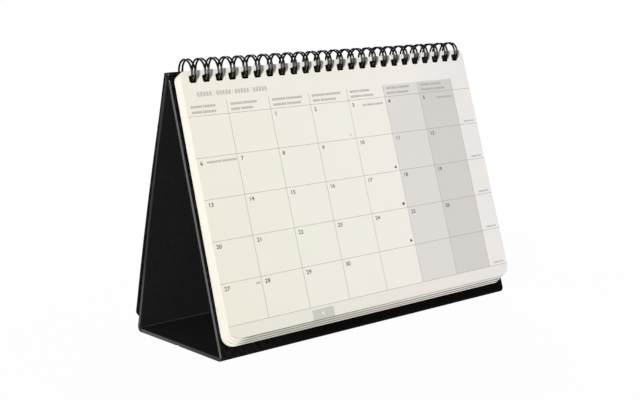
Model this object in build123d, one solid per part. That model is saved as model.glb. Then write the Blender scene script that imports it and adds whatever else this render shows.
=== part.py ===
from build123d import *

import os
from math import atan2, cos, radians, sin

# Desk planner: month sheets on a twin-loop wire, hung over a folded easel of covered board.
# Millimetres, +Z up, the wire along X, the printed face towards -Y.

# Sheets, an A5 pad in landscape. They lie in bundles that fan out downwards, that hang lower and
# are longer towards the back, and that hold together along the top.
SHEET_WIDTH = 210.0
SHEET_HEIGHT = 148.0
SHEET_CORNER_RADIUS = 5.0
BUNDLE_COUNT = 4
BUNDLE_THICKNESS = 1.72
BUNDLE_OVERLAP = 0.12
BUNDLE_DROP = 0.35
BUNDLE_GROWTH = 0.98
BUNDLE_FAN_DEG = 0.38
FRONT_BUNDLE_TILT_DEG = 0.7
SHEET_TOP_MARGIN = 6.0
HOLE_WIDTH = 5.0
HOLE_HEIGHT = 3.6

# Twin-loop wire, three loops to the inch, as many as the sheets have room for
LOOP_PITCH = 25.4 / 3
LOOP_END_MARGIN = 6.0
LOOP_COUNT = int((SHEET_WIDTH - 2 * LOOP_END_MARGIN) / LOOP_PITCH) + 1
STRAND_SPACING = 2.2
WIRE_THICKNESS = 1.0
RING_RADIUS = 7.0
RING_SIDES = 16
WIRE_CLEARANCE = 0.2
SEAM_STEP = 0.8
SLOT_CLEARANCE = 0.5

# Easel of covered board: front panel, creased base, rear panel and the cover folded back over it
SIDE_OVERHANG = 1.75
STAND_WIDTH = SHEET_WIDTH + 2 * SIDE_OVERHANG
BASE_DEPTH = 97.6
BOARD_THICKNESS = 2.3
FRONT_LEAN_DEG = 13.5
FRONT_MARGIN = 11.3
STACK_OFFSET = 0.4
FOLD_THICKNESS = 3.4
FOLD_RISE = 1.5
SPINE_HEIGHT = 2.0
HINGE_HEIGHT = 2.1
HINGE_DEPTH = 1.8
HINGE_ROUNDING = 0.8
FOOT_RADIUS = 3.0
CREASE_WIDTH = 2.4
CREASE_DEPTH = 1.1
COVER_LENGTH = 158.6
COVER_THICKNESS = 1.8
COVER_GLUED_LENGTH = 30.0
COVER_GAP = 2.4
COVER_CORNER_RADIUS = 5.0

# Places that follow from the sizes. Around the wire, "out" is the way the printed face looks
# and "down" runs down the sheets, both from the wire's axis.
LEAN = radians(FRONT_LEAN_DEG)
STACK_THICKNESS = BUNDLE_COUNT * BUNDLE_THICKNESS + BUNDLE_OVERLAP
STACK_FRONT = STACK_THICKNESS / 2 + STACK_OFFSET
STACK_BACK = STACK_FRONT - STACK_THICKNESS
SEAM_OUT = STACK_BACK - WIRE_CLEARANCE - WIRE_THICKNESS / 2
PANEL_OUT = SEAM_OUT - WIRE_CLEARANCE - WIRE_THICKNESS / 2
HOLE_DOWN = (RING_RADIUS**2 - SEAM_OUT**2) ** 0.5 + WIRE_THICKNESS / 3
SHEET_TOP = HOLE_DOWN - SHEET_TOP_MARGIN
AXIS_DOWN_TO_FOOT = SHEET_TOP + SHEET_HEIGHT + FRONT_MARGIN

UP_PANEL = Vector(0, sin(LEAN), cos(LEAN))
OUT_OF_PANEL = Vector(0, -cos(LEAN), sin(LEAN))
FRONT_FOOT = Vector(0, -BASE_DEPTH / 2, 0)
REAR_FOOT = Vector(0, BASE_DEPTH / 2, 0)
WIRE_AXIS = FRONT_FOOT + UP_PANEL * AXIS_DOWN_TO_FOOT - OUT_OF_PANEL * PANEL_OUT


def around_wire(out, down):
    """Point in the YZ plane, placed from the wire's axis."""
    return WIRE_AXIS + OUT_OF_PANEL * out - UP_PANEL * down


FOLD_FRONT = around_wire(PANEL_OUT, -FOLD_RISE)
FOLD_BACK = around_wire(PANEL_OUT - FOLD_THICKNESS, -FOLD_RISE)
REAR_RUN = REAR_FOOT - FOLD_BACK
DOWN_REAR = REAR_RUN.normalized()
OUT_OF_REAR = Vector(0, -DOWN_REAR.Z, DOWN_REAR.Y)
SHEET_PLANE = Plane(WIRE_AXIS, x_dir=(1, 0, 0), z_dir=OUT_OF_PANEL)
LOOP_PLACES = GridLocations(LOOP_PITCH, 1, LOOP_COUNT, 1)


def slab(points, width):
    """Outline in the YZ plane made solid over a width that is centred on X = 0."""
    outline = Polyline(*[(p.Y, p.Z) for p in points], close=True)
    return extrude(Plane.YZ * make_face(outline), amount=width / 2, both=True)


def crossing(start, direction, other_start, other_direction):
    """Point where two lines of the YZ plane meet."""
    gap = other_start - start
    spread = direction.Y * other_direction.Z - direction.Z * other_direction.Y
    along = (gap.Y * other_direction.Z - gap.Z * other_direction.Y) / spread
    return start + direction * along


def easel_shell():
    """Front panel, base and rear panel, folded to a three-sided tube."""
    front_line = FRONT_FOOT - OUT_OF_PANEL * BOARD_THICKNESS
    rear_line = REAR_FOOT - OUT_OF_REAR * BOARD_THICKNESS
    floor_line = Vector(0, 0, BOARD_THICKNESS)
    along_floor = Vector(0, 1, 0)
    inside = [
        crossing(front_line, UP_PANEL, floor_line, along_floor),
        crossing(front_line, UP_PANEL, rear_line, DOWN_REAR),
        crossing(rear_line, DOWN_REAR, floor_line, along_floor),
    ]
    shell = slab([FRONT_FOOT, FOLD_FRONT, FOLD_BACK, REAR_FOOT], STAND_WIDTH)
    shell -= slab(inside, STAND_WIDTH)
    feet = [e for e in shell.edges().filter_by(Axis.X) if e.center().Z < FOOT_RADIUS / 2]
    shell = fillet(feet, FOOT_RADIUS)
    crease = [
        Vector(0, -CREASE_WIDTH / 2, 0),
        Vector(0, 0, CREASE_DEPTH),
        Vector(0, CREASE_WIDTH / 2, 0),
    ]
    return shell - slab(crease, STAND_WIDTH)


def hinge_channel():
    """Channel along the fold, where only the covering joins the front panel to the spine."""
    spine_foot = SPINE_HEIGHT - FOLD_RISE
    panel_top = spine_foot + HINGE_HEIGHT
    before = PANEL_OUT + HINGE_DEPTH
    behind = PANEL_OUT - HINGE_DEPTH
    outline = [
        around_wire(before, spine_foot),
        around_wire(behind, spine_foot),
        around_wire(behind, panel_top),
        around_wire(PANEL_OUT - HINGE_ROUNDING, panel_top),
        around_wire(PANEL_OUT, panel_top + HINGE_ROUNDING),
        around_wire(before, panel_top + HINGE_ROUNDING),
    ]
    return slab(outline, STAND_WIDTH)


def folded_back_cover():
    """Cover panel that comes over the fold, is glued to the rear panel and stands off below."""
    free_length = COVER_LENGTH - COVER_GLUED_LENGTH
    splay = atan2(COVER_GAP, free_length)
    down_free = DOWN_REAR * cos(splay) + OUT_OF_REAR * sin(splay)
    out_free = OUT_OF_REAR * cos(splay) - DOWN_REAR * sin(splay)
    knee = FOLD_BACK + DOWN_REAR * COVER_GLUED_LENGTH
    foot = knee + down_free * free_length
    outer_top = FOLD_BACK + OUT_OF_REAR * COVER_THICKNESS
    outer_foot = foot + out_free * COVER_THICKNESS
    outer_knee = crossing(outer_top, DOWN_REAR, outer_foot, down_free)
    panel = slab([FOLD_BACK, knee, foot, outer_foot, outer_knee, outer_top], STAND_WIDTH)
    end = panel.faces().sort_by(Axis.Z)[0]
    corners = [e for e in end.edges() if abs(e.center().X) > STAND_WIDTH / 2 - FOOT_RADIUS]
    return fillet(corners, COVER_CORNER_RADIUS)


def wire_slots():
    """Slots along the fold, each one clear of a loop of the wire."""
    outer = Circle(RING_RADIUS + WIRE_THICKNESS / 2 + SLOT_CLEARANCE)
    inner = Circle(RING_RADIUS - WIRE_THICKNESS / 2 - SLOT_CLEARANCE)
    slot = extrude(Plane.YZ * (outer - inner), amount=HOLE_WIDTH / 2, both=True)
    slot.position = WIRE_AXIS
    return [place * slot for place in LOOP_PLACES]


def easel_stand():
    stand = easel_shell() + folded_back_cover() - hinge_channel()
    return stand - wire_slots()


def page_block():
    """Sheets as one block of stepped bundles, punched along the top."""
    block = Part()
    for number in range(BUNDLE_COUNT):
        height = SHEET_HEIGHT + number * BUNDLE_GROWTH
        middle_down = SHEET_TOP + number * BUNDLE_DROP + height / 2
        sheet = RectangleRounded(SHEET_WIDTH, height, SHEET_CORNER_RADIUS)
        bundle = extrude(sheet, -(BUNDLE_THICKNESS + BUNDLE_OVERLAP))
        front = STACK_FRONT - number * BUNDLE_THICKNESS
        tilt = FRONT_BUNDLE_TILT_DEG - number * BUNDLE_FAN_DEG
        block += SHEET_PLANE * Rot(X=-tilt) * Pos(0, -middle_down, front) * bundle
    punch = Box(HOLE_WIDTH, HOLE_HEIGHT, 2 * STACK_THICKNESS)
    row = SHEET_PLANE * Pos(0, -HOLE_DOWN, (STACK_FRONT + STACK_BACK) / 2)
    return block - [row * place * punch for place in LOOP_PLACES]


def seam_bar(length, down):
    """Length of wire along X that joins two strands behind the sheets."""
    bar = Box(length + WIRE_THICKNESS, WIRE_THICKNESS, WIRE_THICKNESS)
    return SHEET_PLANE * Pos(0, -down, SEAM_OUT) * bar


def wire_binding():
    """Twin-loop wire closed behind the sheets: tips within a loop, bends between two loops."""
    outer = RegularPolygon(RING_RADIUS + WIRE_THICKNESS / 2, RING_SIDES)
    inner = RegularPolygon(RING_RADIUS - WIRE_THICKNESS / 2, RING_SIDES)
    strand = extrude(Plane.YZ * (outer - inner), amount=WIRE_THICKNESS / 2, both=True)
    strand.position = WIRE_AXIS
    seam_down = (RING_RADIUS**2 - SEAM_OUT**2) ** 0.5
    tip = seam_bar(STRAND_SPACING, seam_down - SEAM_STEP / 2)
    bend = seam_bar(LOOP_PITCH - STRAND_SPACING, seam_down + SEAM_STEP / 2)
    pieces = []
    for place in LOOP_PLACES:
        pieces += [place * Pos(side * STRAND_SPACING / 2, 0, 0) * strand for side in (-1, 1)]
        pieces.append(place * tip)
    pieces += [place * bend for place in GridLocations(LOOP_PITCH, 1, LOOP_COUNT - 1, 1)]
    return pieces[0].fuse(*pieces[1:])


def main():
    parts = {
        "easel_stand": easel_stand(),
        "page_block": page_block(),
        "wire_binding": wire_binding(),
    }
    boxes = [shape.bounding_box() for shape in parts.values()]
    front = min(box.min.Y for box in boxes)
    back = max(box.max.Y for box in boxes)
    to_origin = Pos(0, -(front + back) / 2, 0)
    os.makedirs("parts", exist_ok=True)
    for name, shape in parts.items():
        export_step(to_origin * shape, f"parts/{name}.step")
    print("wire axis at", (to_origin * Pos(WIRE_AXIS)).position)


main()
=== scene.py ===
"""Dresses the desk planner: month sheets on a twin-loop wire, hung over a folded easel of covered board."""
import logging
import random
from dataclasses import dataclass
from enum import Enum
from math import cos, pi, radians, sin
from typing import Callable, Sequence, Union

import bpy
from mathutils import Matrix, Vector


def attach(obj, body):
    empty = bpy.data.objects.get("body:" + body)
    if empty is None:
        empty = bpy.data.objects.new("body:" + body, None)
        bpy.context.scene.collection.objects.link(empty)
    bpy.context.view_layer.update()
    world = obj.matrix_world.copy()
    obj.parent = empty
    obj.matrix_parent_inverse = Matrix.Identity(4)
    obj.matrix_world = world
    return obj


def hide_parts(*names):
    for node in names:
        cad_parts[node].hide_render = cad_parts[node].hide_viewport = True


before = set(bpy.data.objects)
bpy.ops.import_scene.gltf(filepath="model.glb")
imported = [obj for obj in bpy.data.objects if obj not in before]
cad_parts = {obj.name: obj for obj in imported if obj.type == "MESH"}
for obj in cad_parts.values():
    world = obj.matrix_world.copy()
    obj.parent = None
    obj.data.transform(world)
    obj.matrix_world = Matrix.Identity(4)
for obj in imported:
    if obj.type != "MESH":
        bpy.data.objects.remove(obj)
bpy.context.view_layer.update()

MM = 0.001
# Points nearer to each other than these lengths, in metres, are the same point
TOUCH = 1e-6
FINE_TOUCH = 1e-7
LOG = logging.getLogger("planner")
Pair = tuple[float, float]
Colour = tuple[float, float, float]
Place = tuple[float, float, float]
Piece = bpy.types.Object
Material = bpy.types.Material
Value = Union[float, "Shade"]


class Shade:
    """One output socket of a material, with arithmetic that adds Math nodes."""

    def __init__(self, graph: "Graph", socket: bpy.types.NodeSocket) -> None:
        """Keeps the socket and the graph it belongs to."""
        self.graph = graph
        self.socket = socket

    def maths(self, operation: str, first: Value, second: Value = 0.0) -> "Shade":
        """Adds a Math node.

        Args:
            operation: Blender's name of the operation.
            first: Upper value or link.
            second: Lower value or link.

        Returns:
            The node's result.
        """
        return self.graph.node("ShaderNodeMath", {"operation": operation}, {0: first, 1: second})

    def __add__(self, other: Value) -> "Shade":
        """Sum."""
        return self.maths("ADD", self, other)

    __radd__ = __add__

    def __sub__(self, other: Value) -> "Shade":
        """Difference."""
        return self.maths("SUBTRACT", self, other)

    def __rsub__(self, other: Value) -> "Shade":
        """Difference with the number first."""
        return self.maths("SUBTRACT", other, self)

    def __mul__(self, other: Value) -> "Shade":
        """Product."""
        return self.maths("MULTIPLY", self, other)

    __rmul__ = __mul__

    def __truediv__(self, other: Value) -> "Shade":
        """Quotient."""
        return self.maths("DIVIDE", self, other)

    def __rtruediv__(self, other: Value) -> "Shade":
        """Quotient with the number first."""
        return self.maths("DIVIDE", other, self)

    def __gt__(self, other: Value) -> "Shade":
        """One where this value is the larger, else nought."""
        return self.maths("GREATER_THAN", self, other)

    def __lt__(self, other: Value) -> "Shade":
        """One where this value is the smaller, else nought."""
        return self.maths("LESS_THAN", self, other)

    def __abs__(self) -> "Shade":
        """Size without its sign."""
        return self.maths("ABSOLUTE", self)

    def soft_step(self, start: float, end: float) -> "Shade":
        """Smooth rise.

        Args:
            start: Value at which the rise begins.
            end: Value at which it is complete.

        Returns:
            Nought before start, one after end.
        """
        return self.graph.node(
            "ShaderNodeMapRange",
            {"interpolation_type": "SMOOTHSTEP"},
            {"Value": self, "From Min": start, "From Max": end},
        )


class Graph:
    """Node tree of one material, or of the surroundings."""

    def __init__(self, name: str, kind: str = "materials") -> None:
        """Starts an empty tree.

        Args:
            name: Name of what it belongs to.
            kind: Blender's collection for that, materials or worlds.
        """
        self.owner = getattr(bpy.data, kind).new(name)
        self.owner.use_nodes = True
        self.tree = self.owner.node_tree
        self.tree.nodes.clear()

    def node(
        self,
        kind: str,
        settings: dict[str, object] | None = None,
        sockets: dict[Union[str, int], object] | None = None,
        output: Union[str, int] = 0,
    ) -> Shade:
        """Adds any node.

        Args:
            kind: Blender's type name.
            settings: The node's own settings, such as its operation, set first.
            sockets: Values or links of its inputs.
            output: Output that is wanted.

        Returns:
            That output.
        """
        made = self.tree.nodes.new(kind)
        for name, value in (settings or {}).items():
            setattr(made, name, value)
        for name, value in (sockets or {}).items():
            if isinstance(value, Shade):
                self.tree.links.new(value.socket, made.inputs[name])
            else:
                made.inputs[name].default_value = value
        return Shade(self, made.outputs[output] if len(made.outputs) else None)

    def vector(
        self,
        operation: str,
        first: Shade,
        second: Sequence[float] = (0, 0, 0),
        output: Union[str, int] = 0,
    ) -> Shade:
        """Adds a Vector Math node.

        Args:
            operation: Blender's name of the operation.
            first: Upper vector.
            second: Lower vector.
            output: Output that is wanted.

        Returns:
            That output.
        """
        values = {0: first, 1: tuple(second)}
        return self.node("ShaderNodeVectorMath", {"operation": operation}, values, output)

    def place(self) -> Shade:
        """Object coordinates."""
        return self.node("ShaderNodeTexCoord", output="Object")

    def along(self, direction: Sequence[float], start: Sequence[float] = (0, 0, 0)) -> Shade:
        """Distance along a direction.

        Args:
            direction: Unit vector.
            start: Point where the distance is nought.

        Returns:
            The distance in metres.
        """
        offset = self.vector("SUBTRACT", self.place(), start)
        return self.vector("DOT_PRODUCT", offset, direction, "Value")

    def from_line(self, y: float, z: float) -> Shade:
        """Distance from a line along X.

        Args:
            y: The line's place in depth.
            z: The line's height.

        Returns:
            The distance in metres.
        """
        offset = self.vector("SUBTRACT", self.place(), (0.0, y, z))
        across = self.vector("MULTIPLY", offset, (0.0, 1.0, 1.0))
        return self.vector("LENGTH", across, output="Value")

    def noise(self, size: float, detail: float = 2.0, stretch: Sequence[float] = (1, 1, 1)) -> Shade:
        """Noise on Object coordinates.

        Args:
            size: Size of a patch in metres.
            detail: Octaves of finer noise.
            stretch: How much finer the noise is along each axis.

        Returns:
            Values about one half.
        """
        scaled = self.vector("MULTIPLY", self.place(), [k / size for k in stretch])
        sockets = {"Vector": scaled, "Scale": 1.0, "Detail": detail}
        return self.node("ShaderNodeTexNoise", None, sockets, "Fac")

    def mix(self, factor: Value, first: object, second: object) -> Shade:
        """Mixes two colours.

        Args:
            factor: Share of the second.
            first: Colour or link.
            second: Colour or link.

        Returns:
            The mixed colour.
        """
        pair = [c if isinstance(c, Shade) else (*c, 1.0) for c in (first, second)]
        sockets = {0: factor, 6: pair[0], 7: pair[1]}
        return self.node("ShaderNodeMix", {"data_type": "RGBA"}, sockets, 2)

    def bump(self, height: Shade, strength: float, distance: float) -> Shade:
        """Relief.

        Args:
            height: Height between nought and one.
            strength: Share of the relief that shows.
            distance: Height of the relief in metres.

        Returns:
            The bent normal.
        """
        sockets = {"Strength": strength, "Distance": distance, "Height": height}
        return self.node("ShaderNodeBump", None, sockets)

    def surface(self, **sockets: object) -> Material:
        """Ends the tree in a Principled shader.

        Args:
            sockets: Its inputs by name, with _ for a blank.

        Returns:
            The finished material.
        """
        named = {key.replace("_", " "): value for key, value in sockets.items()}
        return self.end(self.node("ShaderNodeBsdfPrincipled", None, named))

    def end(self, shader: Shade, output: str = "ShaderNodeOutputMaterial") -> bpy.types.ID:
        """Links a shader to the output and returns what the tree belongs to."""
        self.node(output, None, {"Surface": shader})
        return self.owner


class Tone(Enum):
    """Printing inks of the month sheet, as linear colours."""

    RULE = (0.31, 0.295, 0.262)
    NUMBER = (0.075, 0.072, 0.068)
    WORD = (0.36, 0.35, 0.325)
    TITLE = (0.46, 0.45, 0.415)
    DOT = (0.03, 0.03, 0.03)
    FAINT = (0.62, 0.61, 0.58)
    PALE = (0.86, 0.85, 0.82)


@dataclass(frozen=True)
class Lie:
    """Place of the sheets about the wire: X right, Y up the sheets, Z out of the printed face."""

    axis: Place = (0.0, -0.013037, 0.156155)
    lean: float = radians(13.5)

    @property
    def up(self) -> Vector:
        """Direction up the sheets."""
        return Vector((0.0, sin(self.lean), cos(self.lean)))

    @property
    def out(self) -> Vector:
        """Direction out of the printed face."""
        return Vector((0.0, -cos(self.lean), sin(self.lean)))

    def matrix(self, tilt: float = 0.0) -> Matrix:
        """Places a flat model.

        Args:
            tilt: Turn about the wire, in radians, that brings the foot of the sheets forwards.

        Returns:
            The matrix from the flat model to the frame.
        """
        turn = Matrix((Vector((1, 0, 0)), self.up, self.out)).transposed().to_4x4()
        return Matrix.Translation(self.axis) @ turn @ Matrix.Rotation(-tilt, 4, "X")


@dataclass(frozen=True)
class Leatherette:
    """Black ribbed covering with the grey board showing at the cut ends."""

    colour: Colour = (0.001, 0.0008, 0.0007)
    worn: Colour = (0.021, 0.0196, 0.0188)
    # Painted highlight along the inner fold between base and rear panel
    crease_wear: Colour = (0.04, 0.038, 0.038)
    core: Colour = (0.112, 0.110, 0.112)
    core_covered: Colour = (0.014, 0.0135, 0.014)
    board: float = 0.0024
    allowance: float = 0.0003
    rear_point: Place = (0.0, -0.005005, 0.15577)
    rear_out: Place = (0.0, 0.93967, 0.34208)
    rear_foot: Pair = (0.0517, 0.0)
    inner_crease: Pair = (0.0484, 0.0023)
    # Painted light on the faces within the tent
    lining: Colour = (0.014, 0.0137, 0.0138)
    front_back: float = -0.0066
    pebbles_per_metre: float = 1500.0
    bow: float = 0.0016
    bow_foot: float = 0.009
    bow_head: float = 0.148
    lie: Lie = Lie()

    def bulge(self, share: Value) -> Value:
        """Bow of the rear panel.

        Args:
            share: Place between the bow's foot and its head, from nought to one.

        Returns:
            How far the panel stands out, in metres.
        """
        return share * (1 - share) * (4 * self.bow)

    def behind(self, g: Graph) -> Shade:
        """Distance behind the bowed outer face of the rear panel.

        Args:
            g: Graph that the nodes go into.

        Returns:
            The distance in metres.
        """
        share = (g.along((0, 0, 1)) - self.bow_foot) / (self.bow_head - self.bow_foot)
        bulge = self.bulge(share)
        return g.along(self.rear_out, self.rear_point) - bulge.maths("MAXIMUM", bulge, 0.0)

    def inside(self, g: Graph) -> Shade:
        """One on the faces within the tent, which are painted lighter, else nought.

        Args:
            g: Graph that the nodes go into.

        Returns:
            The mask.
        """
        before = g.along(self.lie.out, self.lie.axis) < self.front_back
        behind = self.behind(g) < self.allowance - self.board
        return before * behind * (g.along((0, 0, 1)) > self.board - self.allowance)

    def bare_share(self, g: Graph) -> Shade:
        """Share of bare board at the cut ends: all of it in front, less in the base and behind.

        Args:
            g: Graph that the nodes go into.

        Returns:
            The share.
        """
        height = g.along((0, 0, 1))
        behind = self.behind(g)
        base = 1 - height.soft_step(self.board - self.allowance, self.board + self.allowance)
        rear = (behind > -self.board - self.allowance) * (1 - base)
        base_loss = 0.72 - 0.46 * g.along((0, 1, 0)).soft_step(-0.045, 0.035)
        rear_loss = 0.82 - 0.45 * (1 - height.soft_step(0.018, 0.05))
        fold = g.from_line(*self.rear_foot).soft_step(0.0035, 0.007)
        return (1 - base * base_loss - rear * rear_loss) * (0.3 + 0.7 * fold)

    def material(self) -> Material:
        """Makes the covering's material."""
        g = Graph("covered_board")
        cells = g.node(
            "ShaderNodeTexVoronoi",
            {"feature": "DISTANCE_TO_EDGE"},
            {"Vector": g.place(), "Scale": self.pebbles_per_metre},
            "Distance",
        )
        pebbles = cells.soft_step(0.02, 0.28)
        ribs = g.noise(0.0009, 2.0, (1.0, 0.3, 0.3)).soft_step(0.42, 0.68)
        normal = g.node("ShaderNodeNewGeometry", output="True Normal")
        side = abs(g.node("ShaderNodeSeparateXYZ", None, {0: normal}))
        cut = side.soft_step(0.75, 0.97) * (1 - self.behind(g).soft_step(-0.0002, 0.0002))
        fibres = g.noise(0.0009, 3.0, (0.3, 1.0, 1.0)).soft_step(0.3, 0.7)
        scuffs = g.noise(0.018, 4.0).soft_step(0.55, 0.8)
        # Painted highlight: a lighter line along the inner fold, standing in for light caught there
        crease = 1 - g.from_line(*self.inner_crease).soft_step(0.0004, 0.0011)
        in_front = g.along(self.lie.out, self.lie.axis) > self.front_back
        unworn = in_front * g.along((1, 0, 0)).soft_step(-0.1, -0.03)
        wear = (pebbles * 0.2 + ribs * 0.5 + scuffs * 0.25) * (1 - 0.9 * unworn)
        cloth = g.mix(wear, self.colour, self.worn)
        # Painted light: the faces within the tent are painted lighter, standing in for light that reaches
        # inside
        cloth = g.mix(self.inside(g) * (0.75 + 0.25 * ribs), cloth, self.lining)
        cloth = g.mix(crease * (0.4 + 0.6 * ribs), cloth, self.crease_wear)
        board = g.mix(self.bare_share(g) * (0.8 + 0.2 * fibres), self.core_covered, self.core)
        return g.surface(
            Base_Color=g.mix(cut, cloth, board),
            Roughness=0.66 - pebbles * 0.12 + cut * 0.2,
            Specular_IOR_Level=0.02,
            Normal=g.bump(pebbles * 0.6 + ribs * 0.4, 0.45, 0.00012),
        )


@dataclass(frozen=True)
class WireCoat:
    """Black coating of the twin-loop wire."""

    colour: Colour = (0.0014, 0.0012, 0.001)
    # Painted highlight on the front of the loops
    rubbed: Colour = (0.07, 0.068, 0.064)

    def material(self, lie: Lie) -> Material:
        """Makes the wire's material, with a painted highlight on the front of the loops where the sheets
        turn over.

        Args:
            lie: Place of the sheets.

        Returns:
            The material.
        """
        g = Graph("wire_coat")
        mottle = g.noise(0.0012, 2.0)
        coat = g.mix(mottle, self.colour, tuple(c * 1.8 for c in self.colour))
        up = g.along(lie.up, lie.axis)
        front = g.along(lie.out, lie.axis).soft_step(0.0046, 0.0062)
        # Painted highlight: lighter colour on the front of each loop, just below the wire's axis
        rubbed = front * up.soft_step(-0.0036, -0.0022) * (1 - up.soft_step(-0.001, 0.0008))
        return g.surface(
            Base_Color=g.mix(rubbed * (0.55 + 0.45 * mottle), coat, self.rubbed),
            Roughness=0.3 + mottle * 0.14,
            Specular_IOR_Level=0.07,
            Normal=g.bump(g.noise(0.0005, 2.0), 0.12, 0.00004),
        )


@dataclass(frozen=True)
class Paper:
    """Uncoated cream paper, with the sheets' edges as fine lines of painted shade on the sides of the
    stack.
    """

    # Painted light across the width of the sheets, from the left end to the far right
    left: Colour = (0.735, 0.722, 0.618)
    right: Colour = (0.785, 0.757, 0.735)
    far_right: Colour = (0.726, 0.7025, 0.698)
    warm: Colour = (0.775, 0.722, 0.665)
    # Painted shade on the sides of the stack
    gap: Colour = (0.50, 0.47, 0.40)
    # Painted shadow under each bundle's foot
    cleft: Colour = (0.10, 0.095, 0.085)
    # Painted shade in the holes
    hole_wall: Colour = (0.032, 0.028, 0.021)
    sheet: float = 0.00012
    half_width: float = 0.105
    border: float = 0.001
    allowance: float = 0.0003

    def base(self, g: Graph) -> Shade:
        """Mottled colour of the paper's face, with painted light across its width: darker and yellower at
        the left, darker again at the far right.

        Args:
            g: Graph that the nodes go into.

        Returns:
            The colour.
        """
        across = g.along((0.5 / self.half_width, 0, 0)) + 0.5
        cloud = g.noise(0.045, 2.0).soft_step(0.3, 0.75)
        fibre = g.noise(0.0007, 3.0)
        # Painted light: the colour shifts across the width as the light falls there
        plain = g.mix(across, self.left, self.right)
        plain = g.mix(across.soft_step(0.7, 0.98), plain, self.far_right)
        return g.mix(cloud * 0.3 + fibre * 0.15, plain, self.warm)

    def material(self, lie: Lie, holes: Pair, foot: float, step: float) -> Material:
        """Makes the stack's material, with painted shade in the holes and a painted shadow under each
        bundle's foot.

        Args:
            lie: Place of the sheets.
            holes: Upper and lower end of the holes, down from the wire's axis.
            foot: Foot of the first bundle, down from the wire's axis.
            step: How much lower each next bundle ends.

        Returns:
            The material.
        """
        g = Graph("paper_stack")
        layers = g.along(lie.out, lie.axis) / self.sheet
        wander = g.noise(0.004, 2.0, (1.0, 1.0, 0.15)) * 5.0
        line = g.node(
            "ShaderNodeTexNoise",
            {"noise_dimensions": "1D"},
            {"W": layers * 0.55 + wander * 0.2, "Scale": 1.0, "Detail": 2.0},
            "Fac",
        )
        normal = g.node("ShaderNodeNewGeometry", output="Normal")
        facing = abs(g.vector("DOT_PRODUCT", normal, lie.out, "Value"))
        edge = 1 - facing.soft_step(0.3, 0.8)
        # Painted shade on the sides of the stack: a little over all of it, more in fine lines between the
        # sheets
        shade = edge * (0.08 + 0.42 * line.soft_step(0.5, 0.72))
        down = g.along(-lie.up, lie.axis)
        # Painted shadow under each bundle's foot: each lower strip is darker, most at its top, less near
        # the left end and on the first strip to the right
        strip = (down - foot) / step
        lower = strip.maths("FRACT", strip).soft_step(0.25, 0.8)
        across = g.along((1, 0, 0))
        beside = across.soft_step(-0.1, -0.091)
        right = across.soft_step(-0.05, 0.04)
        depth = 0.82 + 0.13 * right - (0.55 + 0.3 * right) * lower
        first = right * (strip < 1.0)
        cleft = (down > foot) * facing.soft_step(0.8, 0.95) * beside * depth * (1 - 0.65 * first)
        # Painted shade on the walls of the holes
        within = abs(across) < self.half_width - self.border
        below = down > holes[0] - self.allowance
        hole = edge * within * below * (down < holes[1] + self.allowance)
        colour = g.mix(cleft, g.mix(shade, self.base(g), self.gap), self.cleft)
        return g.surface(
            Base_Color=g.mix(hole, colour, self.hole_wall),
            Roughness=0.88 - edge * 0.05,
            Specular_IOR_Level=0.2,
            Normal=g.bump(g.noise(0.0004, 3.0) * 0.4 + edge * line, 0.35, 0.00005),
        )


@dataclass(frozen=True)
class Ink:
    """Ink laid on paper, a little uneven."""

    tone: Tone

    def material(self) -> Material:
        """Makes the ink's material."""
        g = Graph("ink_" + self.tone.name.lower())
        speckle = g.noise(0.0003, 2.0).soft_step(0.35, 0.8)
        lighter = tuple(c + (0.8 - c) * 0.16 for c in self.tone.value)
        return g.surface(
            Base_Color=g.mix(speckle, self.tone.value, lighter),
            Roughness=0.8 - speckle * 0.1,
            Specular_IOR_Level=0.2,
        )


def clear_selection() -> None:
    """Leaves nothing selected."""
    bpy.ops.object.select_all(action="DESELECT")


def take(obj: Piece) -> None:
    """Makes one object the only selected one, and the active one."""
    clear_selection()
    obj.select_set(True)
    bpy.context.view_layer.objects.active = obj


def edit(obj: Piece, select: str = "SELECT") -> None:
    """Goes into edit mode with all or nothing selected."""
    take(obj)
    bpy.ops.object.mode_set(mode="EDIT")
    bpy.ops.mesh.select_all(action=select)


def done() -> None:
    """Goes back to object mode."""
    bpy.ops.object.mode_set(mode="OBJECT")


def resume() -> None:
    """Goes into edit mode with the selection as it is."""
    bpy.ops.object.mode_set(mode="EDIT")


def pick(obj: Piece, wanted: Callable[[Vector], bool], faces: bool = False) -> None:
    """Selects the points or the faces that are wanted, and stays in edit mode.

    Args:
        obj: Mesh object that is being edited.
        wanted: Test of a point's place, or of a face's centre.
        faces: Selects faces, and otherwise points.
    """
    bpy.ops.mesh.select_all(action="DESELECT")
    bpy.ops.mesh.select_mode(type="FACE" if faces else "VERT")
    done()
    for part in obj.data.polygons if faces else obj.data.vertices:
        part.select = wanted(part.center if faces else part.co)
    resume()


def cut(place: Sequence[float], normal: Sequence[float], everywhere: bool = True) -> None:
    """Divides faces along a plane.

    Args:
        place: Point of the plane.
        normal: The plane's normal.
        everywhere: Takes all faces, and otherwise the selected ones.
    """
    if everywhere:
        bpy.ops.mesh.select_all(action="SELECT")
    bpy.ops.mesh.bisect(plane_co=place, plane_no=normal)


def plate(name: str, width: float, height: float, centre: Sequence[float]) -> Piece:
    """Adds a flat plate in the flat model's XY plane.

    Args:
        name: Object's name.
        width: Size along X.
        height: Size along Y.
        centre: Its centre.

    Returns:
        The object, with its size in its mesh.
    """
    clear_selection()
    bpy.ops.mesh.primitive_plane_add(size=1.0, location=centre)
    obj = bpy.context.object
    obj.name = obj.data.name = name
    obj.scale = (width, height, 1.0)
    bpy.ops.object.transform_apply()
    return obj


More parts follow.
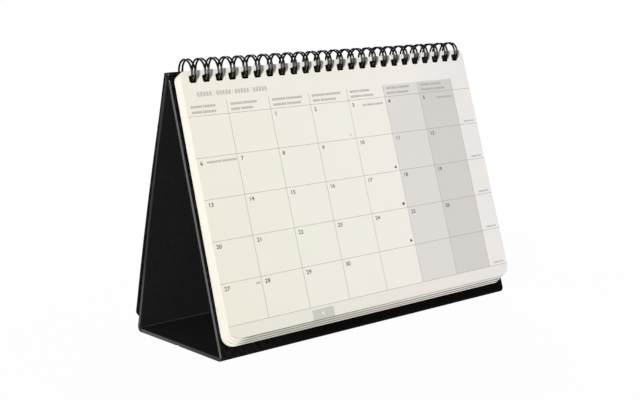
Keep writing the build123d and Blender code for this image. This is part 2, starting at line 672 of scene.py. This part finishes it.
def modify(obj: Piece, kind: str, **settings: object) -> None:
    """Adds a modifier and applies it.

    Args:
        obj: Object that it works on.
        kind: Blender's name of the modifier.
        settings: The modifier's settings.
    """
    take(obj)
    modifier = obj.modifiers.new(kind.lower(), kind)
    for name, value in settings.items():
        setattr(modifier, name, value)
    bpy.ops.object.modifier_apply(modifier=modifier.name)


def thicken(obj: Piece, thickness: float) -> None:
    """Gives a flat plate a body behind its face."""
    modify(obj, "SOLIDIFY", thickness=thickness, offset=-1.0)


def settle(obj: Piece, matrix: Matrix) -> None:
    """Puts a flat model in its place, in its mesh."""
    take(obj)
    obj.matrix_world = matrix
    bpy.ops.object.transform_apply()


def twin(obj: Piece, name: str) -> Piece:
    """Copies an object with a mesh of its own.

    Args:
        obj: Object to copy.
        name: Copy's name.

    Returns:
        The copy.
    """
    copy = obj.copy()
    copy.data = obj.data.copy()
    copy.name = copy.data.name = name
    bpy.context.scene.collection.objects.link(copy)
    return copy


def join(pieces: Sequence[Piece], name: str) -> Piece:
    """Makes several objects one.

    Args:
        pieces: Objects to join.
        name: Name of the result.

    Returns:
        The joined object.
    """
    take(pieces[0])
    for piece in pieces:
        piece.select_set(True)
    if len(pieces) > 1:
        bpy.ops.object.join()
    whole = bpy.context.object
    whole.name = whole.data.name = name
    return whole


def dress(obj: Piece, material: Material, body: str) -> None:
    """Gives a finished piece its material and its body.

    Args:
        obj: Finished piece.
        material: Its only material.
        body: CAD body it rides on.
    """
    obj.data.materials.clear()
    obj.data.materials.append(material)
    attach(obj, body)
    LOG.info("%s: %d faces", obj.name, len(obj.data.polygons))


@dataclass
class EaselStand:
    """Folded easel of covered board, its long edges turned over softly."""

    turn_in: float = 0.00032
    shortest_edge: float = 0.006
    bow_cuts: int = 11
    finish: Leatherette = Leatherette()

    def bow(self, stand: Piece) -> None:
        """Bows the rear panel and the cover on it out a little between fold and foot.

        Args:
            stand: Easel that is being edited.
        """
        f = self.finish
        for number in range(1, self.bow_cuts + 1):
            level = f.bow_foot + (f.bow_head - f.bow_foot) * number / (self.bow_cuts + 1)
            cut((0, 0, level), (0, 0, 1))
        done()
        out, start = Vector(f.rear_out), Vector(f.rear_point)

        def at_rear(p: Vector) -> bool:
            """True for a point of the rear panel or the cover, below the fold."""
            return f.bow_foot < p.z < f.bow_head and (p - start).dot(out) > -2 * f.board

        heights = {round(p.co.z, 6) for p in stand.data.vertices if at_rear(p.co)}
        resume()
        for height in sorted(heights):
            pick(stand, lambda p: at_rear(p) and abs(p.z - height) < 0.6 * TOUCH)
            share = (height - f.bow_foot) / (f.bow_head - f.bow_foot)
            bpy.ops.transform.translate(value=out * f.bulge(share))

    def build(self) -> None:
        """Bows the rear of a copy of the CAD node, rounds its long edges and covers it."""
        stand = twin(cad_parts["easel_stand"], "covered_easel")
        stand.parent = None
        stand.matrix_world = Matrix.Identity(4)
        edit(stand)
        bpy.ops.mesh.remove_doubles(threshold=TOUCH)
        bpy.ops.mesh.dissolve_limited(angle_limit=radians(0.5))
        self.bow(stand)
        bpy.ops.mesh.select_all(action="DESELECT")
        bpy.ops.mesh.select_mode(type="EDGE")
        bpy.ops.mesh.edges_select_sharp(sharpness=radians(40))
        done()
        points = stand.data.vertices
        for edge in stand.data.edges:
            ends = [points[i].co for i in edge.vertices]
            if (ends[0] - ends[1]).length < self.shortest_edge:
                edge.select = False
        resume()
        bpy.ops.mesh.bevel(offset=self.turn_in, segments=2, clamp_overlap=False)
        done()
        bpy.ops.object.shade_smooth_by_angle(angle=radians(35))
        modify(stand, "WEIGHTED_NORMAL", keep_sharp=True)
        dress(stand, self.finish.material(), "stand")
        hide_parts("easel_stand")


@dataclass
class TwinLoopWire:
    """Twin-loop wire, closed behind the last sheet: tips within a loop, bars between two loops."""

    lie: Lie
    loops: int = 24
    pitch: float = 25.4 / 3 * MM
    strand: float = 1.1 * MM
    radius: float = 6.92 * MM
    thickness: float = 1.14 * MM
    seam_out: float = -3.8 * MM
    tip_down: float = 5.35 * MM
    bar_down: float = 6.4 * MM
    seam_opening: float = 1.75 * MM
    corners: int = 24
    lean_middle: Pair = (-0.4 * MM, -0.45 * MM)
    lean_top: Pair = (-0.55 * MM, -0.55 * MM)
    squash: float = 1.4 * MM
    finish: WireCoat = WireCoat()

    def half_loop(self) -> Piece:
        """Draws the left half of one loop: a ring open at the seam, its ends led to tip and bar."""
        step = 2 * pi / self.corners
        # The smooth curve runs within its corners by this share of their radius
        guide = self.radius / (0.75 + 0.25 * cos(step))
        clear_selection()
        bpy.ops.mesh.primitive_circle_add(
            vertices=self.corners, radius=guide, location=(-self.strand, 0, 0), rotation=(0, pi / 2, 0)
        )
        loop = bpy.context.object
        loop.name = loop.data.name = "twin_loops"
        bpy.ops.object.transform_apply()
        tip = Vector((-self.strand, -self.tip_down, self.seam_out))
        bar = Vector((-self.strand, -self.bar_down, self.seam_out))
        middle = (tip + bar) / 2
        resume()
        pick(loop, lambda p: (p - middle).length < self.seam_opening)
        bpy.ops.mesh.delete(type="VERT")
        self.lead(loop, tip, Vector((0, tip.y, tip.z)))
        self.lead(loop, bar, Vector((-self.pitch / 2, bar.y, bar.z)))
        done()
        return loop

    def lead(self, loop: Piece, corner: Vector, end: Vector) -> None:
        """Leads the ring's nearer open end round a corner to an end.

        Args:
            loop: Ring that is being edited.
            corner: Place where it turns along X.
            end: Place where it stops.
        """
        done()
        met = [index for edge in loop.data.edges for index in edge.vertices]
        ends = [p.co.copy() for p in loop.data.vertices if met.count(p.index) == 1]
        resume()
        start = min(ends, key=lambda p: (p - corner).length)
        pick(loop, lambda p: (p - start).length < FINE_TOUCH)
        for place in (corner, end):
            bpy.ops.mesh.extrude_region_move(TRANSFORM_OT_translate={"value": place - start})
            start = place

    def build(self) -> None:
        """Repeats the loop along the wire, gives it a round section and coats it."""
        wire = self.half_loop()
        modify(wire, "MIRROR", merge_threshold=TOUCH)
        modify(
            wire, "ARRAY", count=self.loops, use_relative_offset=False, use_constant_offset=True,
            constant_offset_displace=(self.pitch, 0, 0), use_merge_vertices=True, merge_threshold=TOUCH,
        )
        wire.location.x = -(self.loops - 1) / 2 * self.pitch
        bpy.ops.object.transform_apply()
        last = (self.loops - 1) / 2 * self.pitch + self.strand
        edit(wire, "DESELECT")
        pick(wire, lambda p: abs(p.x) > last + self.thickness / 2)
        bpy.ops.mesh.delete(type="VERT")
        done()
        self.press(wire)
        wire = self.round_section(wire)
        dress(wire, self.finish.material(self.lie), "stand")
        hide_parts("wire_binding")

    def press(self, wire: Piece) -> None:
        """Leans the loops to the left and presses their tops down, more towards the right.

        Args:
            wire: Line of edges.
        """
        clear_selection()
        bpy.ops.object.add(type="LATTICE")
        cage = bpy.context.object
        grid = cage.data
        grid.points_u, grid.points_v, grid.points_w = 2, 3, 2
        grid.interpolation_type_u = grid.interpolation_type_v = "KEY_LINEAR"
        grid.interpolation_type_w = "KEY_LINEAR"
        length = (self.loops - 1) * self.pitch
        cage.scale = (length, 2 * self.radius, 2 * self.radius)
        leans = {-1: (0.0, 0.0), 0: self.lean_middle, 1: self.lean_top}
        for point in grid.points:
            share = point.co.x + 0.5
            left, right = leans[round(2 * point.co.y)]
            point.co_deform.x += (left + (right - left) * share) / length
            if point.co.y > 0:
                point.co_deform.y -= self.squash * share / (2 * self.radius)
        bpy.context.view_layer.update()
        modify(wire, "LATTICE", object=cage)
        bpy.data.objects.remove(cage)

    def round_section(self, wire: Piece) -> Piece:
        """Turns the drawn line into a smooth round wire.

        Args:
            wire: Line of edges.

        Returns:
            The finished wire in its place.
        """
        take(wire)
        bpy.ops.object.convert(target="CURVE")
        wire = bpy.context.object
        curve = wire.data
        for spline in curve.splines:
            spline.type = "NURBS"
            spline.order_u = 3
            spline.use_endpoint_u = True
            spline.resolution_u = 3
        curve.dimensions = "3D"
        curve.resolution_u = curve.render_resolution_u = 3
        curve.bevel_depth = self.thickness / 2
        curve.bevel_resolution = 2
        curve.use_fill_caps = True
        bpy.ops.object.convert(target="MESH")
        wire = bpy.context.object
        edit(wire)
        bpy.ops.mesh.remove_doubles(threshold=FINE_TOUCH)
        bpy.ops.mesh.normals_make_consistent(inside=False)
        done()
        settle(wire, self.lie.matrix())
        bpy.ops.object.shade_smooth_by_angle(angle=radians(50))
        wire.name = wire.data.name = "twin_loop_wire"
        return wire


@dataclass
class SheetStack:
    """Month sheets in layers that fan out downwards and don't lie quite true, each bundle lower."""

    lie: Lie
    width: float = 210.0 * MM
    height: float = 148.0 * MM
    corner: float = 6.6 * MM
    top_corner: float = 3.8 * MM
    bundles: int = 4
    layers: int = 5
    drop: float = 0.35 * MM
    growth: float = 0.98 * MM
    fan: float = radians(0.38)
    front_tilt: float = radians(0.7)
    front: float = 3.9 * MM
    back: float = -3.1 * MM
    top: float = 0.212 * MM
    hole_width: float = 4.6 * MM
    hole_corner: float = 0.9 * MM
    hole_top: float = 2.9 * MM
    hole_foot: float = 8.0 * MM
    front_hole_foot: float = 7.2 * MM
    holes: int = 24
    pitch: float = 25.4 / 3 * MM
    front_sheet: float = 0.2 * MM
    print_room: float = 0.06 * MM
    untrue: float = 0.09 * MM
    finish: Paper = Paper()

    def tilt(self, bundle: int) -> float:
        """Turn of a bundle about the wire."""
        return self.front_tilt - bundle * self.fan

    def punched_sheet(self, name: str, bundle: int, hole_foot: float) -> Piece:
        """Models one flat sheet with rounded corners and a row of holes.

        Args:
            name: Object's name.
            bundle: Bundle that it is for, which sets its length and how low it hangs.
            hole_foot: Lower end of the holes, down from the wire's axis.

        Returns:
            The sheet, flat at Z = 0 with the wire at the origin.
        """
        height = self.height + bundle * self.growth
        middle = -(self.top + bundle * self.drop + height / 2)
        sheet = plate(name, self.width, height, (0, middle, 0))
        edit(sheet)
        for side, radius in ((-1, self.corner), (1, self.top_corner)):
            pick(sheet, lambda p: (p.y - middle) * side > height / 2 - TOUCH)
            bpy.ops.mesh.bevel(offset=radius, segments=7, affect="VERTICES", clamp_overlap=False)
        low, high = -hole_foot, -self.hole_top
        for level in (low, high):
            cut((0, level, 0), (0, 1, 0))
        centres = [(i - (self.holes - 1) / 2) * self.pitch for i in range(self.holes)]
        half = self.hole_width / 2
        for x in [c + side * half for c in centres for side in (-1, 1)]:
            pick(sheet, lambda p: low < p.y < high, faces=True)
            cut((x, 0, 0), (1, 0, 0), everywhere=False)
        pick(
            sheet,
            lambda p: low < p.y < high and any(abs(p.x - c) < half for c in centres),
            faces=True,
        )
        bpy.ops.mesh.delete(type="FACE")
        pick(
            sheet,
            lambda p: min(abs(p.y - low), abs(p.y - high)) < TOUCH
            and any(abs(abs(p.x - c) - half) < TOUCH for c in centres),
        )
        bpy.ops.mesh.bevel(
            offset=self.hole_corner, segments=2, affect="VERTICES", clamp_overlap=False
        )
        done()
        return sheet

    def build(self) -> Piece:
        """Builds the stack and the sheet in front of it.

        Returns:
            The front sheet, still without its print.
        """
        chance = random.Random(11)
        count = self.bundles * self.layers
        first = self.front - self.print_room - self.front_sheet
        step = (first - self.back) / count
        turn = (self.tilt(0) - self.tilt(self.bundles - 1)) / (count - 1)
        laid = []
        front_sheet = None
        for bundle in range(self.bundles):
            pattern = self.punched_sheet(f"sheet_{bundle}", bundle, self.hole_foot)
            if bundle == 0:
                front_sheet = self.punched_sheet("front_sheet", 0, self.front_hole_foot)
                thicken(front_sheet, self.front_sheet)
                level = Matrix.Translation((0, 0, self.front - self.print_room))
                settle(front_sheet, self.lie.matrix(self.tilt(0)) @ level)
            for layer in range(bundle * self.layers, (bundle + 1) * self.layers):
                slip = Vector((chance.uniform(-1, 0), chance.uniform(-0.2, 1), 0)) * self.untrue
                slip.z = first - layer * step
                sheets = twin(pattern, f"layer_{layer}")
                last = layer == count - 1
                thicken(sheets, step if last else step + turn * self.height)
                tilt = self.tilt(0) - layer * turn
                settle(sheets, self.lie.matrix(tilt) @ Matrix.Translation(slip))
                laid.append(sheets)
            bpy.data.objects.remove(pattern)
        paper = self.finish.material(
            self.lie, (self.hole_top, self.hole_foot), self.top + self.height, self.drop + self.growth
        )
        stack = join(laid, "sheet_stack")
        dress(stack, paper, "pages")
        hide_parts("page_block")
        return front_sheet


@dataclass
class MonthPrint:
    """Print of the front sheet: a ruled month of plain day numbers, with words as rows of blocks."""

    lie: Lie
    stack: SheetStack
    head: float = 25.68
    row: float = 23.0
    rows: int = 5
    first_column: float = 26.16
    column: float = 28.11
    columns: int = 7
    tick: float = 7.4
    rule: float = 0.24
    first_day: int = 2
    days: int = 30
    number_height: float = 2.25
    number_weight: float = 0.045
    number_stretch: float = 1.1
    digit_share: float = 0.69
    number_inset: Pair = (2.0, 4.05)
    light_day: Colour = (0.646, 0.6215, 0.592)
    dark_day: Colour = (0.578, 0.553, 0.532)
    foot_margin: Colour = (0.58, 0.56, 0.53)
    tab: tuple[float, float, float] = (55.0, 70.0, 142.2)
    tab_colour: Colour = (0.53, 0.52, 0.47)
    layer: float = 0.02
    title_foot: float = 14.9
    title_length: float = 9.2
    title_height: float = 2.6
    stroke_middle: float = 13.5
    stroke_width: float = 0.22
    stroke_height: float = 3.0
    block_shape: float = 0.72
    block_share: float = 0.7
    head_lines: Pair = (21.1, 24.2)
    head_inset: float = 2.2
    head_height: float = 1.35
    word_space: float = 0.8
    note_height: float = 1.2
    week_height: float = 1.0
    week_rise: float = 1.4
    margin_share: float = 0.2

    def uprights(self) -> list[float]:
        """Places of the upright rules, from the sheet's left edge, in mm."""
        return [self.first_column + i * self.column for i in range(self.columns)]

    def levels(self) -> list[float]:
        """Places of the level rules, from the sheet's top, in mm."""
        return [self.head + i * self.row for i in range(self.rows + 1)]

    def spot(self, across: float, down: float) -> Place:
        """Place on the flat sheet.

        Args:
            across: Millimetres from the sheet's left edge.
            down: Millimetres from the sheet's top.

        Returns:
            The place in the flat model, in metres.
        """
        s = self.stack
        return (across * MM - s.width / 2, -s.top - down * MM, 0.0)

    def film(self, shapes: Sequence[Piece], name: str, level: int = 1) -> Piece:
        """Joins flat shapes and lays them on the sheet as a film of ink.

        Args:
            shapes: Flat shapes.
            name: Name of the result.
            level: Number of films below it.

        Returns:
            The film.
        """
        whole = join(shapes, name)
        thicken(whole, self.layer * MM)
        s = self.stack
        face = s.front - s.print_room + (level + 1) * self.layer * MM
        settle(whole, self.lie.matrix(s.tilt(0)) @ Matrix.Translation((0, 0, face)))
        return whole

    def rules(self) -> Piece:
        """Rules the month: a plate divided along every rule, without the fields between them."""
        s = self.stack
        top = self.head - self.tick
        bottom = self.levels()[-1] + self.rule / 2
        centre = self.spot(s.width / MM / 2, (top + bottom) / 2)
        grid = plate("grid", s.width, (bottom - top) * MM, centre)
        half = self.rule / 2
        resume()
        for across in [u + side * half for u in self.uprights() for side in (-1, 1)]:
            cut(self.spot(across, 0), (1, 0, 0))
        for down in [v + side * half for v in self.levels() for side in (-1, 1)]:
            cut(self.spot(0, down), (0, 1, 0))

        def field_between(p: Vector) -> bool:
            """True for a face that is on no rule."""
            on_upright = any(abs(p.x - self.spot(u, 0)[0]) < half * MM for u in self.uprights())
            on_level = any(abs(p.y - self.spot(0, v)[1]) < half * MM for v in self.levels())
            return not (on_upright or on_level)

        pick(grid, field_between, faces=True)
        bpy.ops.mesh.delete(type="FACE")
        done()
        return self.film([grid], "month_rules", 0)

    def figure(self, text: str, across: float, down: float, height: float) -> Piece:
        """Draws a plain number.

        Args:
            text: Its digits.
            across: Left end, in mm.
            down: Foot of the digits, in mm.
            height: Height of a digit, in mm.

        Returns:
            A flat mesh.
        """
        clear_selection()
        bpy.ops.object.text_add(location=self.spot(across, down))
        obj = bpy.context.object
        obj.data.body = text
        obj.data.size = height / self.digit_share * MM
        obj.data.resolution_u = 3
        obj.data.offset = self.number_weight * MM
        obj.scale.x = self.number_stretch
        bpy.ops.object.convert(target="MESH")
        obj = bpy.context.object
        bpy.ops.object.transform_apply()
        edit(obj)
        bpy.ops.mesh.remove_doubles(threshold=FINE_TOUCH)
        done()
        return obj

    def numbers(self) -> Piece:
        """Writes the day numbers into the fields."""
        lefts = [0.0] + self.uprights()[:-1]
        figures = []
        for day in range(1, self.days + 1):
            week, weekday = divmod(day - 1 + self.first_day, self.columns)
            across = lefts[weekday] + self.number_inset[0]
            down = self.levels()[week] + self.number_inset[1]
            figures.append(self.figure(str(day), across, down, self.number_height))
        return self.film(figures, "day_numbers")

    def word(self, across: float, down: float, width: float, height: float) -> Piece:
        """Stands a row of small blocks for a word.

        Args:
            across: Left end, in mm.
            down: Foot of the word, in mm.
            width: Its length, in mm.
            height: Its height, in mm.

        Returns:
            A flat mesh.
        """
        letters = max(2, round(width / height / self.block_shape))
        centre = self.spot(across + width / 2, down - height / 2)
        word = plate("word", width * MM, height * MM, centre)
        resume()
        pitch = width / (letters - (1 - self.block_share))
        for i in range(letters):
            for place in (i * pitch, (i + self.block_share) * pitch):
                cut(self.spot(across + place, 0), (1, 0, 0))
        left = self.spot(across, 0)[0]
        pick(word, lambda p: (p.x - left) / MM / pitch % 1.0 > self.block_share, faces=True)
        bpy.ops.mesh.delete(type="FACE")
        done()
        return word

    def words(self) -> Piece:
        """Sets the blocks of the headings, the notes and the margin."""
        made = []
        head_words = [
            ((7.0, 7.6), (6.3, 8.2)), ((7.4, 9.2), (5.6, 7.8)), ((9.2, 10.8), (9.0, 9.6)),
            ((9.4, 10.6), (5.0, 11.0)), ((6.6, 7.4), (8.4, 8.0)), ((8.6, 9.2), (7.0, 9.6)),
            ((7.6, 8.6), (9.4, 9.2)),
        ]
        lefts = [0.9] + self.uprights()[:-1]
        for left, lines in zip(lefts, head_words):
            for down, pair in zip(self.head_lines, lines):
                across = left + self.head_inset
                for width in pair:
                    made.append(self.word(across, down, width, self.head_height))
                    across += width + self.word_space
        notes = [
            (120.4, 29.9, 2.2), (123.6, 29.9, 5.4), (129.7, 29.9, 6.3), (180.2, 30.1, 12.9),
            (6.4, 52.1, 9.0), (16.1, 52.1, 9.2), (22.4, 121.4, 2.6),
        ]
        for across, down, width in notes:
            made.append(self.word(across, down, width, self.note_height))
        for level in self.levels()[1:]:
            for across, width in ((199.0, 5.2), (205.0, 2.3)):
                made.append(self.word(across, level - self.week_rise, width, self.week_height))
        return self.film(made, "word_blocks")

    def title(self) -> Piece:
        """Sets the blocks of the month's title, with fine strokes between them."""
        size = (self.title_foot, self.title_length, self.title_height)
        made = [self.word(across, *size) for across in (8.4, 20.8, 32.8, 45.0)]
        for across in (19.2, 31.3, 43.4):
            middle = self.spot(across, self.stroke_middle)
            made.append(plate("stroke", self.stroke_width * MM, self.stroke_height * MM, middle))
        return self.film(made, "title_blocks")

    def disc(self, across: float, down: float, radius: float) -> Piece:
        """Draws a dot.

        Args:
            across: Its middle, in mm.
            down: Its middle, in mm.
            radius: Its radius, in mm.

        Returns:
            A flat mesh.
        """
        clear_selection()
        bpy.ops.mesh.primitive_circle_add(
            vertices=28, radius=radius * MM, fill_type="NGON", location=self.spot(across, down)
        )
        bpy.ops.object.transform_apply()
        return bpy.context.object

    def dots(self) -> Piece:
        """Sets the three dark marks at the foot of their fields."""
        marks = ((135.9, 69.3, 0.78), (136.0, 92.0, 0.9), (136.0, 114.7, 0.78))
        return self.film([self.disc(*mark) for mark in marks], "dark_dots")

    def faint_dot(self) -> Piece:
        """Sets the faint mark at the foot of the first full field."""
        return self.film([self.disc(107.1, 46.3, 0.9)], "faint_dot")

    def tab_number(self) -> Piece:
        """Writes the pale number on the tab."""
        return self.film([self.figure("4", 61.6, 145.9, 2.2)], "tab_number")

    def sheet_material(self) -> Material:
        """Makes the printed sheet's material: paper with fields of colour."""
        g = Graph("printed_sheet")
        s = self.stack
        lie = Lie(self.lie.axis, self.lie.lean + s.front_tilt)
        across = (g.along((1, 0, 0)) + s.width / 2) / MM
        down = (g.along(-lie.up, lie.axis) - s.top) / MM
        face = g.along(lie.out, lie.axis) > s.front - s.print_room - s.front_sheet / 2
        u = self.uprights()
        in_rows = (down > self.head - self.tick) * (down < self.levels()[-1])
        light = (across > u[4]) * (across < u[5]) * in_rows * face
        dark = (across > u[5]) * (across < u[6]) * in_rows * face
        left, right, start = self.tab
        tab = (across > left) * (across < right) * (down > start) * face
        margin = (down > self.levels()[-1]) * face * self.margin_share
        colour = g.mix(margin, s.finish.base(g), self.foot_margin)
        colour = g.mix(light, colour, self.light_day)
        colour = g.mix(dark, colour, self.dark_day)
        colour = g.mix(tab, colour, self.tab_colour)
        fibre = g.noise(0.0004, 3.0)
        return g.surface(
            Base_Color=colour,
            Roughness=0.9 - fibre * 0.08,
            Specular_IOR_Level=0.2,
            Normal=g.bump(fibre, 0.2, 0.00004),
        )

    def dress(self, sheet: Piece) -> None:
        """Prints the front sheet."""
        dress(sheet, self.sheet_material(), "pages")
        for piece, tone in (
            (self.rules(), Tone.RULE), (self.numbers(), Tone.NUMBER), (self.words(), Tone.WORD),
            (self.title(), Tone.TITLE), (self.dots(), Tone.DOT), (self.faint_dot(), Tone.FAINT),
            (self.tab_number(), Tone.PALE),
        ):
            dress(piece, Ink(tone).material(), "pages")


@dataclass(frozen=True)
class Lamp:
    """Square lamp: direction from the object, distance, side and power in watts."""

    towards: Place
    distance: float
    size: float
    power: float


@dataclass
class Studio:
    """Pale floor, soft light from the left and the photograph's camera."""

    focal: float = 1176.33
    frame_size: tuple[int, int] = (640, 400)
    optical_centre: Pair = (335.0, 158.15)
    azimuth: float = radians(-36.88)
    elevation: float = radians(6.72)
    roll: float = radians(-2.99)
    aim: Place = (0.0, 0.002901, 0.09633)
    aside: float = 0.01014
    distance: float = 0.72499
    key: Lamp = Lamp((-0.763, -0.593, 0.253), 8.0, 0.9, 822.0)
    back: Lamp = Lamp((0.62, 0.72, 0.42), 4.0, 1.6, 120.0)
    lit_point: Place = (0.0, 0.0, 0.08)
    ambient: float = 0.13
    floor_colour: Colour = (0.86, 0.86, 0.86)
    floor_side: float = 8.0
    floor_gap: float = 0.0001
    floor_glow: float = 0.97
    floor_reach: Pair = (0.16, 0.42)

    def camera(self) -> None:
        """Sets the camera up where the photograph was taken."""
        a, e, r = self.azimuth, self.elevation, self.roll
        back = Vector((sin(a) * cos(e), -cos(a) * cos(e), sin(e)))
        level = Vector((cos(a), sin(a), 0.0))
        upright = back.cross(level)
        right = level * cos(r) + upright * sin(r)
        up = upright * cos(r) - level * sin(r)
        eye = right * self.aside + Vector(self.aim) + back * self.distance
        bpy.ops.object.camera_add()
        camera = bpy.context.object
        turn = Matrix((right, up, back)).transposed().to_4x4()
        camera.matrix_world = Matrix.Translation(eye) @ turn
        camera.data.sensor_width = 36.0
        width, height = self.frame_size
        camera.data.lens = self.focal * camera.data.sensor_width / width
        camera.data.shift_x = (width / 2 - self.optical_centre[0]) / width
        camera.data.shift_y = (self.optical_centre[1] - height / 2) / width
        camera.data.clip_start = 0.01
        bpy.context.scene.camera = camera

    def light(self, name: str, lamp: Lamp) -> None:
        """Adds a lamp that faces the object.

        Args:
            name: Its name.
            lamp: Its place, size and power.
        """
        towards = Vector(lamp.towards)
        place = Vector(self.lit_point) + towards.normalized() * lamp.distance
        bpy.ops.object.light_add(type="AREA", location=place)
        made = bpy.context.object
        made.name = made.data.name = name
        made.rotation_euler = towards.to_track_quat("Z", "Y").to_euler()
        made.data.size = lamp.size
        made.data.energy = lamp.power

    def seen(self, g: Graph) -> Shade:
        """Tells the rays that show the background.

        Args:
            g: Graph that the nodes go into.

        Returns:
            One for a ray that is straight, mirrored or let through, else nought.
        """
        seen = g.node("ShaderNodeLightPath", output="Is Camera Ray")
        for kind in ("Glossy", "Transmission"):
            other = g.node("ShaderNodeLightPath", output=f"Is {kind} Ray")
            seen = seen.maths("MAXIMUM", seen, other)
        return seen

    def world(self) -> None:
        """Makes the surroundings: an even soft light, seen as white."""
        g = Graph("studio", "worlds")
        strength = self.ambient + (1 - self.ambient) * self.seen(g)
        sockets = {"Color": (1.0, 1.0, 1.0, 1.0), "Strength": strength}
        sky = g.node("ShaderNodeBackground", None, sockets)
        bpy.context.scene.world = g.end(sky, "ShaderNodeOutputWorld")

    def floor(self) -> None:
        """Lays a pale floor that is seen near white and keeps the shadow."""
        ground = plate("floor", self.floor_side, self.floor_side, (0, 0, -self.floor_gap))
        g = Graph("pale_floor")
        matt = g.node("ShaderNodeBsdfDiffuse", None, {"Color": (*self.floor_colour, 1.0)})
        glow = g.node("ShaderNodeEmission", None, {"Strength": 1.0})
        far = g.vector("LENGTH", g.place(), output="Value").soft_step(*self.floor_reach)
        share = self.floor_glow + far * (1 - self.floor_glow)
        blend = g.node("ShaderNodeMixShader", None, {0: self.seen(g) * share, 1: matt, 2: glow})
        ground.data.materials.append(g.end(blend))

    def build(self) -> None:
        """Sets everything up."""
        bpy.context.scene.view_settings.view_transform = "Standard"
        clear_selection()
        self.camera()
        self.world()
        self.floor()
        self.light("key", self.key)
        self.light("back", self.back)


def main() -> None:
    """Builds the planner piece by piece, and keeps its sizes."""
    logging.basicConfig(level=logging.INFO, format="%(name)s %(message)s")
    lie = Lie()
    Studio().build()
    EaselStand().build()
    TwinLoopWire(lie).build()
    stack = SheetStack(lie)
    MonthPrint(lie, stack).dress(stack.build())


if __name__ == "__main__":
    main()
